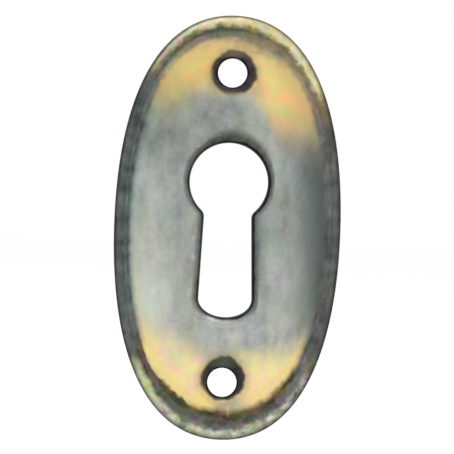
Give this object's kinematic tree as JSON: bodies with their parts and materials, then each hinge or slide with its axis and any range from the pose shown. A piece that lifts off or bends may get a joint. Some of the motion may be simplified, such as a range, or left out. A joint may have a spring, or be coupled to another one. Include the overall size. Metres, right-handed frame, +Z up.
{
  "type": "keyhole escutcheon",
  "caption": "Oval pressed brass plate that trims a cabinet or drawer keyhole: crowned panel, beaded and grooved border, rounded keyhole lip, dished fixing holes and a hollow back.",
  "frame": {"origin": "middle of the oval, in the plane of the back that bears on the wood", "axes": "+Z up along the long axis, towards the round end of the keyhole; +Y out of the back, into the wood; the front faces -Y"},
  "size_m": [0.0254, 0.0024, 0.0476],
  "materials": {
    "antique_brass": "antiqued: gold ends rubbed bright, grey-green tarnish over the middle, dark in the groove and dishes"
  },
  "bodies": {
    "root": {"escutcheon_plate": "antique_brass"}
  },
  "joints": []
}
